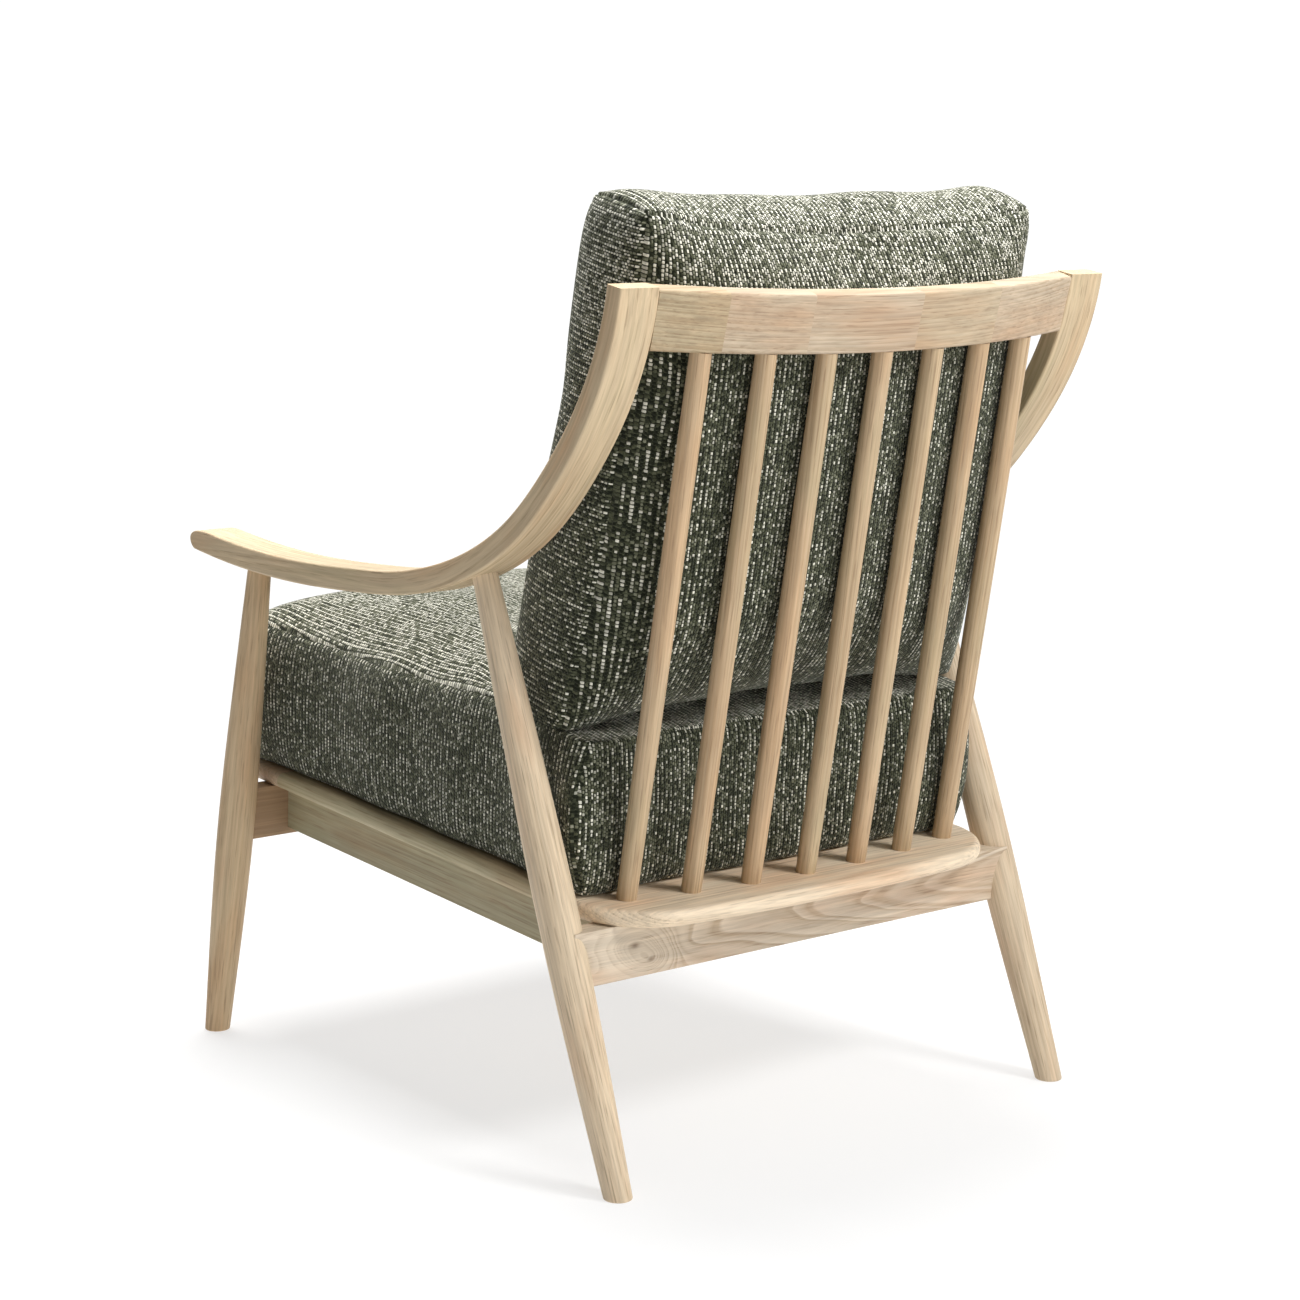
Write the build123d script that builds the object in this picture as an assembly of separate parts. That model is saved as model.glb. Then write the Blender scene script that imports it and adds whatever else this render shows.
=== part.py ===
from build123d import *
from math import atan2, cos, degrees, radians, sin, sqrt
import os

# Wooden easy chair with a spindle back and two loose cushions, in millimetres.
# +Z is up, the sitter faces -Y, and the sitter's left hand is on the +X side.
# The origin is on the floor, under the middle of the chair's outline.

# ---- driving dimensions -------------------------------------------------------

# seat deck: a flat frame that slopes down towards the back
SEAT_HEIGHT = 272.0          # top of the deck above the origin
SEAT_TILT = 3.9              # degrees
DECK_THICKNESS = 17.0
DECK_HALF_WIDTH = 257.0
DECK_FRONT = -378.0          # positions along the deck, measured on its slope
DECK_BACK = 317.0
DECK_BACK_BOW = 17.0
DECK_FRONT_CORNER_RADIUS = 24.0
DECK_BACK_CORNER_RADIUS = 86.0
DECK_NOSE = 7.5
DECK_OPENING_HALF_WIDTH = 195.0
DECK_OPENING_FRONT = -300.0
DECK_OPENING_BACK = 190.0

# slats let into the deck's side boards
SLAT_COUNT = 7
SLAT_WIDTH = 50.0
SLAT_THICKNESS = 10.0
SLAT_HALF_LENGTH = 231.7
SLAT_REBATE_EDGE = 232.0     # how far out the side boards are rebated for the slats' ends

# rails under the deck
RAIL_THICKNESS = 22.0
SIDE_RAIL_CENTRE = 224.0
SIDE_RAIL_HEIGHT = 50.0
FRONT_RAIL = (-323.7, 57.0)          # position along the deck, height
REAR_RAIL = (261.6, 55.0)
RAIL_TENON = (16.0, 12.0, 34.0)      # length into the leg, thickness, height
BLOCK_SIDE = 44.0
BLOCK_HEIGHT = 40.0

# turned legs: foot and top of each left-hand axis
FRONT_FOOT = Vector(302.5, -364.0, 0.0)
FRONT_TOP = Vector(281.3, -286.0, 517.0)
REAR_FOOT = Vector(285.0, 336.0, 0.0)
REAR_TOP = Vector(281.3, 131.0, 553.0)
LEG_RADII = ((0.0, 13.5), (0.2, 17.2), (0.45, 19.75), (0.72, 17.1), (1.0, 12.5))
LEG_TENON_RADIUS = 7.0
LEG_TENON_LENGTH = 13.0
GLIDE_RADIUS = 8.0
GLIDE_THICKNESS = 3.0

# arms: boards sawn to one long curve, armrest and back post in a single piece
ARM_INNER = 259.2
ARM_WIDTH = 44.4
ARM_THICKNESS = 23.8
ARM_TOP_THICKNESS = 20.6
ARM_NOSE = (-393.5, 541.5)           # foremost point of the armrest, as y and z
ARM_NOSE_LENGTH = 0.035              # share of the underside that the rounded nose takes up
ARM_EASING = 2.2
ARM_UNDERSIDE = (
    (-386.0, 533.2), (-300.0, 523.4), (-231.4, 519.3), (-150.0, 518.4), (-60.0, 521.6),
    (30.0, 529.6), (97.2, 545.6), (156.2, 568.2), (216.6, 604.8), (280.1, 665.6),
    (330.6, 734.6), (354.0, 784.0), (367.9, 834.4),
)

# crest rail: bowed board between the back posts
CREST_TILT = 15.5            # degrees back from upright
CREST_THICKNESS = 22.0
CREST_HEIGHT = 56.4
CREST_BOW = 33.8
CREST_EASING = 3.0
CREST_BACK = 400.0           # rearmost point of the chair
CREST_TOP = 822.9            # height of that point

# spindles
SPINDLE_COUNT = 7
SPINDLE_BOTTOM_PITCH = 69.1
SPINDLE_TOP_PITCH = 67.5
SPINDLE_RADII = (9.8, 10.6, 10.1)    # at the deck, half way up and at the crest
SPINDLE_ARC = 1000.0
SPINDLE_LINE = 272.6         # middle spindle's position along the deck
SPINDLE_TENON_RADIUS = 6.0
SPINDLE_TENON_LENGTH = 12.0

# cushions
SEAT_CUSHION_HALF_WIDTH = 253.0
SEAT_CUSHION_FRONT = -400.3
SEAT_CUSHION_BACK = 229.0
SEAT_CUSHION_BACK_BOW = 15.0
SEAT_CUSHION_REAR_HEIGHT = 152.0
SEAT_CUSHION_PEAK_HEIGHT = 186.0
SEAT_CUSHION_PEAK = -130.0           # where along the deck it is highest
SEAT_CUSHION_SHOULDER = (-270.0, 178.0)
SEAT_CUSHION_FRONT_HEIGHT = 138.0
SEAT_CUSHION_SIDE_HEIGHT = 149.0
SEAT_CUSHION_ARCH = 196.0            # top of the arc over its width, above the flat middle
SEAT_CUSHION_CORNER = 24.0
BACK_CUSHION_TILT = 13.5
BACK_CUSHION_FOOT = (156.6, 425.0)   # y and z of its mid-plane at the bottom
BACK_CUSHION_HALF_WIDTH = 252.0
BACK_CUSHION_HEIGHT = 486.0
BACK_CUSHION_EDGE = 92.0
BACK_CUSHION_TOP_EDGE = 80.0
BACK_CUSHION_FRONT_CROWN = 44.0
BACK_CUSHION_REAR_CROWN = 76.0
BACK_CUSHION_SHOULDER = (0.80, 0.64)     # share of the half width, and of the crown, where the rear turns in
BACK_CUSHION_SKIRT = 60.0                # extra below the foot, cut away along the seat cushion
REST_GAP = 0.5

# small hidden hardware: dowels are radius and half length
RAIL_DOWEL = (4.0, 15.0)
RAIL_DOWEL_LEVELS = (-30.0, -55.0)       # below the top of the deck
DECK_DOWEL = (3.0, 18.0)
DECK_DOWEL_CENTRE = 243.0
CREST_DOWEL = (4.0, 20.0)
CREST_DOWEL_LEVELS = (14.0, 42.0)        # above the lower edge of the crest rail
SLAT_SCREW = (3.5, 1.75, 24.0, 2.2)      # head radius, shank radius, length, head depth
BLOCK_SCREW = (4.0, 2.0, 42.0, 2.6)
BLOCK_SCREW_INSET = 16.0

BIG = 2000.0                             # larger than the chair, for cutting away whole sides
SEAT_FRAME = Location((0, 0, SEAT_HEIGHT), (-SEAT_TILT, 0, 0))


# ---- helpers --------------------------------------------------------------------

def block(low, high):
    """Box between two opposite corners."""
    size = [high[i] - low[i] for i in range(3)]
    centre = [(high[i] + low[i]) / 2 for i in range(3)]
    return Pos(*centre) * Box(*size)


def sagitta(radius, offset):
    """How far an arc of this radius falls back at this distance from its middle."""
    return radius - sqrt(radius ** 2 - offset ** 2)


def bow_radius(half_width, bow):
    return (half_width ** 2 + bow ** 2) / (2 * bow)


def along(start, end):
    """Frame at start whose +Z points at end."""
    return Plane(origin=start, z_dir=(end - start).normalized()).location


def rod(start, end, radius):
    length = (end - start).length
    return along(start, end) * Cylinder(radius, length, align=(Align.CENTER, Align.CENTER, Align.MIN))


def turned(profile):
    """Solid of revolution from (radius, height) points joined by one smooth curve."""
    first, last = profile[0], profile[-1]
    curve = Spline(*[(r, 0, h) for r, h in profile])
    outline = [
        Line((0, 0, first[1]), (first[0], 0, first[1])),
        curve,
        Line((last[0], 0, last[1]), (0, 0, last[1])),
        Line((0, 0, last[1]), (0, 0, first[1])),
    ]
    return revolve(make_face(outline), Axis.Z)


def screw(start, end, size):
    """Countersunk screw with its head at start, pointing at end."""
    head, shank, length, depth = size
    point = 3.0
    half_section = ((0, 0, 0), (head, 0, 0), (shank, 0, depth), (shank, 0, length - point), (0, 0, length))
    return along(start, end) * revolve(make_face(Polyline(*half_section, close=True)), Axis.Z)


def dowel(centre, direction, size):
    """Rod lying half in each of two parts, with its middle on the joint between them."""
    radius, half_length = size
    reach = Vector(*direction) * half_length
    return rod(Vector(*centre) - reach, Vector(*centre) + reach, radius)


def both_sides(lefts):
    """Every shape of a list together with its mirror image."""
    return [side for left in lefts for side in (left, mirror(left, about=Plane.YZ))]


def cut(solid, tools):
    for tool in tools:
        solid -= tool
    return solid


def largest(shape):
    return shape.solids().sort_by(SortBy.VOLUME)[-1]


# ---- seat deck, slats and rails ---------------------------------------------------

def deck_blank():
    """The whole deck as one bullnosed board, before it is divided into its parts."""
    corner_v = DECK_BACK - DECK_BACK_BOW
    w = DECK_HALF_WIDTH
    outline = [
        Line((-w, DECK_FRONT), (w, DECK_FRONT)),
        Line((w, DECK_FRONT), (w, corner_v)),
        ThreePointArc((w, corner_v), (0, DECK_BACK), (-w, corner_v)),
        Line((-w, corner_v), (-w, DECK_FRONT)),
    ]
    face = make_face(outline)
    face = fillet(face.vertices().group_by(Axis.Y)[0], DECK_FRONT_CORNER_RADIUS)
    face = fillet(face.vertices().group_by(Axis.Y)[-1], DECK_BACK_CORNER_RADIUS)
    blank = extrude(face, -DECK_THICKNESS, dir=(0, 0, 1))
    rim = blank.edges().filter_by(lambda e: e.bounding_box().size.Z < 0.1)
    return fillet(rim, DECK_NOSE)


def slat_positions():
    span = DECK_OPENING_BACK - DECK_OPENING_FRONT
    gap = (span - SLAT_COUNT * SLAT_WIDTH) / (SLAT_COUNT + 1)
    pitch = SLAT_WIDTH + gap
    return [DECK_OPENING_FRONT + gap + SLAT_WIDTH / 2 + pitch * k for k in range(SLAT_COUNT)]


def slat(v):
    half = SLAT_WIDTH / 2
    blank = block((-SLAT_HALF_LENGTH, v - half, -SLAT_THICKNESS), (SLAT_HALF_LENGTH, v + half, 0))
    return fillet(blank.edges().filter_by(Axis.X), 1.5)


def rail_low(height):
    return -DECK_THICKNESS - height


def rail_joints():
    """Positions along the deck where the side rails meet the front and rear rails."""
    half = RAIL_THICKNESS / 2
    return FRONT_RAIL[0] + half, REAR_RAIL[0] - half


def side_rail():
    front, back = rail_joints()
    half = RAIL_THICKNESS / 2
    blank = block((SIDE_RAIL_CENTRE - half, front, rail_low(SIDE_RAIL_HEIGHT)),
                  (SIDE_RAIL_CENTRE + half, back, -DECK_THICKNESS))
    lower = blank.edges().filter_by(Axis.Y).group_by(Axis.Z)[0]
    return fillet(lower, 1.5)


def leg_offset(rail, foot, top):
    """How far out the leg's axis is at the height of the rail's middle."""
    centre, height = rail
    middle = (SEAT_FRAME * Pos(0, centre, -DECK_THICKNESS - height / 2)).position
    part = (middle.Z - foot.Z) / (top.Z - foot.Z)
    return foot.X + (top.X - foot.X) * part


def cross_tenons(rail, foot, top):
    """Both tenons as one bar through the rail, ending inside the legs."""
    centre, height = rail
    length, thickness, tall = RAIL_TENON
    middle = -DECK_THICKNESS - height / 2
    thickest = max(radius for _, radius in LEG_RADII)
    reach = leg_offset(rail, foot, top) - thickest + length
    return block((-reach, centre - thickness / 2, middle - tall / 2),
                 (reach, centre + thickness / 2, middle + tall / 2))


def cross_rail(rail, foot, top, leg):
    """Front or rear rail: shouldered to fit round the legs, with a tenon into each."""
    centre, height = rail
    half = RAIL_THICKNESS / 2
    reach = leg_offset(rail, foot, top)
    blank = block((-reach, centre - half, rail_low(height)), (reach, centre + half, -DECK_THICKNESS))
    blank = fillet(blank.edges().filter_by(Axis.X).group_by(Axis.Z)[0], 1.5)
    shouldered = cut(blank, both_sides([SEAT_FRAME.inverse() * leg]))
    return largest(shouldered) + cross_tenons(rail, foot, top)


def corner_block(v_corner, v_sign):
    """Triangular glue block in the corner of two rails; v_sign points into the seat."""
    u_corner = SIDE_RAIL_CENTRE - RAIL_THICKNESS / 2
    along_cross = (u_corner - BLOCK_SIDE, v_corner)
    along_side = (u_corner, v_corner + v_sign * BLOCK_SIDE)
    face = make_face(Polyline((u_corner, v_corner), along_cross, along_side, close=True))
    return Pos(0, 0, -DECK_THICKNESS) * extrude(face, BLOCK_HEIGHT, dir=(0, 0, -1))


def corner_block_screws(v_corner, v_sign):
    """Two screws from the sloping face, one into each rail."""
    u_corner = SIDE_RAIL_CENTRE - RAIL_THICKNESS / 2
    inset = BLOCK_SCREW_INSET
    run = BLOCK_SIDE - inset
    level = -DECK_THICKNESS - BLOCK_HEIGHT / 2
    into_side = Vector(u_corner - run, v_corner + v_sign * inset, level - 8)
    into_cross = Vector(u_corner - inset, v_corner + v_sign * run, level + 8)
    return [
        screw(into_side, into_side + Vector(BLOCK_SIDE, 0, 0), BLOCK_SCREW),
        screw(into_cross, into_cross - Vector(0, v_sign * BLOCK_SIDE, 0), BLOCK_SCREW),
    ]


def slat_screws(v):
    """One screw through each end of a slat, left and right, down into the side rail."""
    head = Vector(SIDE_RAIL_CENTRE, v, 0)
    return both_sides([screw(head, head - Vector(0, 0, DECK_THICKNESS), SLAT_SCREW)])


def rail_dowels():
    centres = [(SIDE_RAIL_CENTRE, v, w) for v in rail_joints() for w in RAIL_DOWEL_LEVELS]
    return [dowel(centre, (0, 1, 0), RAIL_DOWEL) for centre in centres]


def deck_dowels():
    level = -DECK_THICKNESS / 2
    centres = [(DECK_DOWEL_CENTRE, v, level) for v in (DECK_OPENING_FRONT, DECK_OPENING_BACK)]
    return [dowel(centre, (0, 1, 0), DECK_DOWEL) for centre in centres]


# ---- legs, arms, crest and spindles --------------------------------------------------

def leg_blank(foot, top):
    """Turned leg with its foot sawn level with the floor, running on into the arm."""
    length = (top - foot).length
    below, above = 12.0, 9.0
    profile = [(radius, part * length) for part, radius in LEG_RADII]
    (low_radius, low), (next_radius, following) = profile[0], profile[1]
    (last_radius, last), (high_radius, high) = profile[-2], profile[-1]
    low_slope = (next_radius - low_radius) / (following - low)
    high_slope = (high_radius - last_radius) / (high - last)
    profile.insert(0, (low_radius - low_slope * below, low - below))
    profile.append((high_radius + high_slope * above, high + above))
    leg = along(foot, top) * turned(profile)
    leg -= Pos(0, 0, -BIG / 2) * Box(BIG, BIG, BIG)
    sole = leg.faces().sort_by(Axis.Z)[0]
    return fillet(sole.edges(), 1.5)


def fitted_leg(foot, top, arm):
    """Leg shouldered against the underside of the arm, with its tenon."""
    return largest(leg_blank(foot, top) - arm) + leg_tenon(foot, top)


def leg_tenon(foot, top):
    axis = (top - foot).normalized()
    return rod(top - axis * LEG_TENON_LENGTH, top + axis * LEG_TENON_LENGTH, LEG_TENON_RADIUS)


def glide(foot):
    return Pos(foot.X, foot.Y, 0) * Cylinder(
        GLIDE_RADIUS, GLIDE_THICKNESS, align=(Align.CENTER, Align.CENTER, Align.MIN))


def arm_blank():
    """Left arm before its sockets are cut."""
    under = Spline(*[(y, z) for y, z in ARM_UNDERSIDE])
    steps = 12
    upper_points = []
    for k in range(steps + 1):
        t = ARM_NOSE_LENGTH + (1 - ARM_NOSE_LENGTH) * k / steps
        tangent = under % t
        taper = max(0.0, (t - 0.75) / 0.25)
        thickness = ARM_THICKNESS + (ARM_TOP_THICKNESS - ARM_THICKNESS) * taper
        upper_points.append(under @ t + Vector(-tangent.Y, tangent.X) * thickness)
    upper = Spline(*upper_points)
    nose = Spline(upper @ 0, ARM_NOSE, under @ 0, tangents=((upper % 0) * -1, (0.9, -0.45)))
    outline = [under, Line(under @ 1, upper @ 1), upper, nose]
    face = Plane.YZ * make_face(outline)
    arm = Pos(ARM_INNER, 0, 0) * extrude(face, ARM_WIDTH)
    long_edges = [e for e in arm.edges() if e.length > 60]
    return fillet(long_edges, ARM_EASING)


def crest_dowels():
    """Dowels that join the crest rail to the left arm."""
    ends = [crest_frame() * Pos(ARM_INNER, -CREST_BOW - CREST_THICKNESS / 2, w) for w in CREST_DOWEL_LEVELS]
    return [dowel(end.position, (1, 0, 0), CREST_DOWEL) for end in ends]


def crest_frame():
    """Frame at the middle of the crest rail's lower rear edge."""
    back = CREST_BACK - CREST_HEIGHT * sin(radians(CREST_TILT))
    low = CREST_TOP - CREST_HEIGHT * cos(radians(CREST_TILT))
    return Location((0, back, low), (-CREST_TILT, 0, 0))


def crest_blank():
    """Piece of a large turned ring with rounded edges, cut off square to meet the arms."""
    rear_radius = bow_radius(ARM_INNER, CREST_BOW)
    section = Plane.XZ * RectangleRounded(CREST_THICKNESS, CREST_HEIGHT, CREST_EASING)
    section = Pos(rear_radius - CREST_THICKNESS / 2, 0, CREST_HEIGHT / 2) * section
    ring = Pos(0, -rear_radius, 0) * Rot(0, 0, 50) * revolve(section, Axis.Z, 80)
    reach = CREST_BOW + 2 * CREST_THICKNESS
    between_arms = block((-ARM_INNER, -reach, -reach), (ARM_INNER, reach, reach + CREST_HEIGHT))
    return crest_frame() * (ring & between_arms)


def spindle_numbers():
    """Counted from the middle spindle, right to left."""
    half_count = SPINDLE_COUNT // 2
    return range(-half_count, half_count + 1)


def spindle_ends(k):
    """Where spindle k's axis meets the deck and the underside of the crest rail."""
    low_u = SPINDLE_BOTTOM_PITCH * k
    low_v = SPINDLE_LINE - sagitta(SPINDLE_ARC, low_u)
    high_u = SPINDLE_TOP_PITCH * k
    high_v = -CREST_THICKNESS / 2 - sagitta(SPINDLE_ARC, high_u)
    low = (SEAT_FRAME * Pos(low_u, low_v, 0)).position
    high = (crest_frame() * Pos(high_u, high_v, 0)).position
    return low, high


def spindle(k):
    """Shaft trimmed to the deck and crest, with a tenon at each end."""
    low, high = spindle_ends(k)
    length = (high - low).length
    extra = 6.0
    r_low, r_mid, r_high = SPINDLE_RADII
    profile = [(r_low, -extra), (r_mid, length / 2), (r_high, length + extra)]
    shaft = along(low, high) * turned(profile)
    below_deck = SEAT_FRAME * Pos(0, 0, -BIG / 2) * Box(BIG, BIG, BIG)
    above_crest = crest_frame() * Pos(0, 0, BIG / 2) * Box(BIG, BIG, BIG)
    shaft = shaft - below_deck - above_crest
    return shaft + spindle_tenon(k)


def spindle_tenon(k):
    """Core rod through the spindle that stands out at both ends."""
    low, high = spindle_ends(k)
    axis = (high - low).normalized()
    return rod(low - axis * SPINDLE_TENON_LENGTH, high + axis * SPINDLE_TENON_LENGTH,
               SPINDLE_TENON_RADIUS)


# ---- cushions --------------------------------------------------------------------

def seat_cushion():
    """Thick box cushion, highest in the middle and falling straight to the rear under the back cushion."""
    front, half, side = SEAT_CUSHION_FRONT, SEAT_CUSHION_HALF_WIDTH, SEAT_CUSHION_SIDE_HEIGHT
    back = SEAT_CUSHION_BACK + SEAT_CUSHION_BACK_BOW
    peak = (SEAT_CUSHION_PEAK, SEAT_CUSHION_PEAK_HEIGHT)
    side_view = [
        Line((front, REST_GAP), (back, REST_GAP)),
        Line((back, REST_GAP), (back, SEAT_CUSHION_REAR_HEIGHT)),
        Line((back, SEAT_CUSHION_REAR_HEIGHT), peak),
        ThreePointArc(peak, SEAT_CUSHION_SHOULDER, (front, SEAT_CUSHION_FRONT_HEIGHT)),
        Line((front, SEAT_CUSHION_FRONT_HEIGHT), (front, REST_GAP)),
    ]
    front_view = [
        Line((-half, 0), (half, 0)),
        Line((half, 0), (half, side)),
        ThreePointArc((half, side), (0, SEAT_CUSHION_ARCH), (-half, side)),
        Line((-half, side), (-half, 0)),
    ]
    plan = [
        Line((-half, front), (half, front)),
        Line((half, front), (half, SEAT_CUSHION_BACK)),
        ThreePointArc((half, SEAT_CUSHION_BACK), (0, back), (-half, SEAT_CUSHION_BACK)),
        Line((-half, SEAT_CUSHION_BACK), (-half, front)),
    ]
    from_side = Pos(-half, 0, 0) * extrude(Plane.YZ * make_face(side_view), 2 * half)
    from_front = Pos(0, back, 0) * extrude(Plane.XZ * make_face(front_view), back - front)
    from_above = extrude(fillet(make_face(plan).vertices(), SEAT_CUSHION_CORNER), 2 * side)
    return SEAT_FRAME * (from_side & from_front & from_above)


def back_cushion():
    """Plump cushion leaning on the spindles, its foot pressed flat on the seat cushion."""
    half, tall = BACK_CUSHION_HALF_WIDTH, BACK_CUSHION_HEIGHT
    edge, top = BACK_CUSHION_EDGE / 2, BACK_CUSHION_TOP_EDGE / 2
    front, rear = -edge - BACK_CUSHION_FRONT_CROWN, edge + BACK_CUSHION_REAR_CROWN
    across, fullness = BACK_CUSHION_SHOULDER
    shoulder = (across * half, edge + fullness * BACK_CUSHION_REAR_CROWN)
    rear_curve = ThreePointArc((-shoulder[0], shoulder[1]), (0, rear), shoulder)
    plan = [
        Spline((-half, edge), rear_curve @ 0, tangents=((0, 1), rear_curve % 0)),
        rear_curve,
        Spline(rear_curve @ 1, (half, edge), tangents=(rear_curve % 1, (0, -1))),
        Line((half, edge), (half, -edge)),
        ThreePointArc((half, -edge), (0, front), (-half, -edge)),
        Line((-half, -edge), (-half, edge)),
    ]
    skirt = BACK_CUSHION_SKIRT
    column = Pos(0, 0, -skirt) * extrude(make_face(plan), tall + skirt)
    side = [
        Line((top, tall), (-top, tall)),
        Spline((-top, tall), (front, tall / 2), (-edge, -skirt)),
        Line((-edge, -skirt), (edge, -skirt)),
        Spline((edge, -skirt), (rear, tall / 2), (top, tall)),
    ]
    slab = Pos(-half, 0, 0) * extrude(Plane.YZ * make_face(side), 2 * half)
    frame = Location((0, *BACK_CUSHION_FOOT), (-BACK_CUSHION_TILT, 0, 0))
    cushion = frame * (column & slab)
    run = SEAT_CUSHION_BACK + SEAT_CUSHION_BACK_BOW - SEAT_CUSHION_PEAK
    slope = degrees(atan2(SEAT_CUSHION_PEAK_HEIGHT - SEAT_CUSHION_REAR_HEIGHT, run))
    rest = SEAT_FRAME * Pos(0, SEAT_CUSHION_PEAK, SEAT_CUSHION_PEAK_HEIGHT) * Rot(-slope, 0, 0)
    return cushion - rest * Pos(0, 0, REST_GAP - BIG / 2) * Box(BIG, BIG, BIG)


# ---- assembly --------------------------------------------------------------------

def leg_arm_and_rail_parts():
    """The frame under and beside the seat, left and right, with its dowels and glides."""
    arm = arm_blank()
    front_leg = fitted_leg(FRONT_FOOT, FRONT_TOP, arm)
    rear_leg = fitted_leg(REAR_FOOT, REAR_TOP, arm)
    arm = cut(arm, [front_leg, rear_leg] + crest_dowels())

    front_joint, rear_joint = rail_joints()
    front_screws = corner_block_screws(front_joint, 1)
    rear_screws = corner_block_screws(rear_joint, -1)
    front_block = cut(corner_block(front_joint, 1), front_screws)
    rear_block = cut(corner_block(rear_joint, -1), rear_screws)

    front_rail = cross_rail(FRONT_RAIL, FRONT_FOOT, FRONT_TOP, front_leg)
    rear_rail = cross_rail(REAR_RAIL, REAR_FOOT, REAR_TOP, rear_leg)
    front_rail = cut(front_rail, both_sides(rail_dowels() + front_screws))
    rear_rail = cut(rear_rail, both_sides(rail_dowels() + rear_screws))
    from_slats = [screws for v in slat_positions() for screws in slat_screws(v)]
    left_rail = cut(side_rail(), rail_dowels() + front_screws + rear_screws + from_slats)

    front_glide, rear_glide = glide(FRONT_FOOT), glide(REAR_FOOT)
    front_mortise = SEAT_FRAME * cross_tenons(FRONT_RAIL, FRONT_FOOT, FRONT_TOP)
    rear_mortise = SEAT_FRAME * cross_tenons(REAR_RAIL, REAR_FOOT, REAR_TOP)
    pairs = {
        "front_leg": cut(front_leg, [front_glide, front_mortise]),
        "rear_leg": cut(rear_leg, [rear_glide, rear_mortise]),
        "arm": arm,
        "side_rail": SEAT_FRAME * left_rail,
        "front_block": SEAT_FRAME * front_block,
        "rear_block": SEAT_FRAME * rear_block,
    }
    parts = left_and_right(pairs)
    parts["front_rail"] = SEAT_FRAME * front_rail
    parts["rear_rail"] = SEAT_FRAME * rear_rail
    parts["rail_dowels"] = in_seat_frame(both_sides(rail_dowels()))
    parts["block_screws"] = in_seat_frame(both_sides(front_screws + rear_screws))
    parts["foot_glides"] = Compound(children=both_sides([front_glide, rear_glide]))
    return parts


def deck_parts():
    """The four boards of the seat deck, the slats between them and their fixings."""
    blank = deck_blank()
    front, back = DECK_OPENING_FRONT, DECK_OPENING_BACK
    rear_board = blank & block((-BIG, back, -BIG), (BIG, BIG, BIG))
    front_board = blank & block((-BIG, -BIG, -BIG), (BIG, front, BIG))
    left_board = blank & block((DECK_OPENING_HALF_WIDTH, front, -BIG), (BIG, back, BIG))
    left_board -= block((0, front, -SLAT_THICKNESS), (SLAT_REBATE_EDGE, back, BIG))
    screws = [item for v in slat_positions() for item in slat_screws(v)]
    left_board = cut(left_board, deck_dowels() + screws)
    tenons = [SEAT_FRAME.inverse() * spindle_tenon(k) for k in spindle_numbers()]

    parts = left_and_right({"side_board": SEAT_FRAME * left_board})
    parts["front_board"] = SEAT_FRAME * cut(front_board, both_sides(deck_dowels()))
    parts["rear_board"] = SEAT_FRAME * cut(rear_board, both_sides(deck_dowels()) + tenons)
    for number, v in enumerate(slat_positions(), 1):
        parts["slat_%d" % number] = SEAT_FRAME * cut(slat(v), slat_screws(v))
    parts["slat_screws"] = in_seat_frame(screws)
    parts["deck_dowels"] = in_seat_frame(both_sides(deck_dowels()))
    return parts


def back_parts():
    """The crest rail with its dowels, and the spindles under it."""
    crest = cut(crest_blank(), both_sides(crest_dowels()) + [spindle_tenon(k) for k in spindle_numbers()])
    parts = {"crest_rail": crest, "crest_dowels": Compound(children=both_sides(crest_dowels()))}
    for number, k in enumerate(spindle_numbers(), 1):
        parts["spindle_%d" % number] = spindle(k)
    return parts


def left_and_right(pairs):
    """A left and a right part for each named left-hand shape."""
    parts = {}
    for name, shape in pairs.items():
        parts[name + "_left"], parts[name + "_right"] = both_sides([shape])
    return parts


def in_seat_frame(shapes):
    return Compound(children=[SEAT_FRAME * shape for shape in shapes])


def build_parts():
    """Every part of the chair, in its place, by the name of its node."""
    cushions = {"seat_cushion": seat_cushion(), "back_cushion": back_cushion()}
    return {**leg_arm_and_rail_parts(), **deck_parts(), **back_parts(), **cushions}


os.makedirs("parts", exist_ok=True)
for node, shape in build_parts().items():
    export_step(shape, "parts/%s.step" % node)
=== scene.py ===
import math

import bmesh
import bpy
import numpy as np
from mathutils import Matrix, Vector


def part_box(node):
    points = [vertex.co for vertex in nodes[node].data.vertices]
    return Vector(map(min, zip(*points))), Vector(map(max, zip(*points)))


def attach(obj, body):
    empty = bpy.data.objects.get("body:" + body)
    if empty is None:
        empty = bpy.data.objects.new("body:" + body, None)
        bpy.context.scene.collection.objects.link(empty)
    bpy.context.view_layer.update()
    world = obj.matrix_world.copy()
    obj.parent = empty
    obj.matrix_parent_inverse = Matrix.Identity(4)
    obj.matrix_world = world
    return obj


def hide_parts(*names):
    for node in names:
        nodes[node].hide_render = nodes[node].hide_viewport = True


# Looks for the wooden easy chair: pale open-grained ash, and two loose cushions in heavy tweed.
# Metres, the CAD frame: +Z up, the sitter faces -Y, the sitter's left hand is on the +X side.

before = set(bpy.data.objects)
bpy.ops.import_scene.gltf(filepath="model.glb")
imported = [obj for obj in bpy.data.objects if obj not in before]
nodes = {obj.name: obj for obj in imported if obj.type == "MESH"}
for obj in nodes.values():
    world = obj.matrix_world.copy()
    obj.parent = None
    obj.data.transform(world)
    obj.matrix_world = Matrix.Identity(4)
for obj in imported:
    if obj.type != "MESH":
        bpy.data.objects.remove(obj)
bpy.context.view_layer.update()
scene = bpy.context.scene

# ---- camera and light ---------------------------------------------------------------

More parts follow.
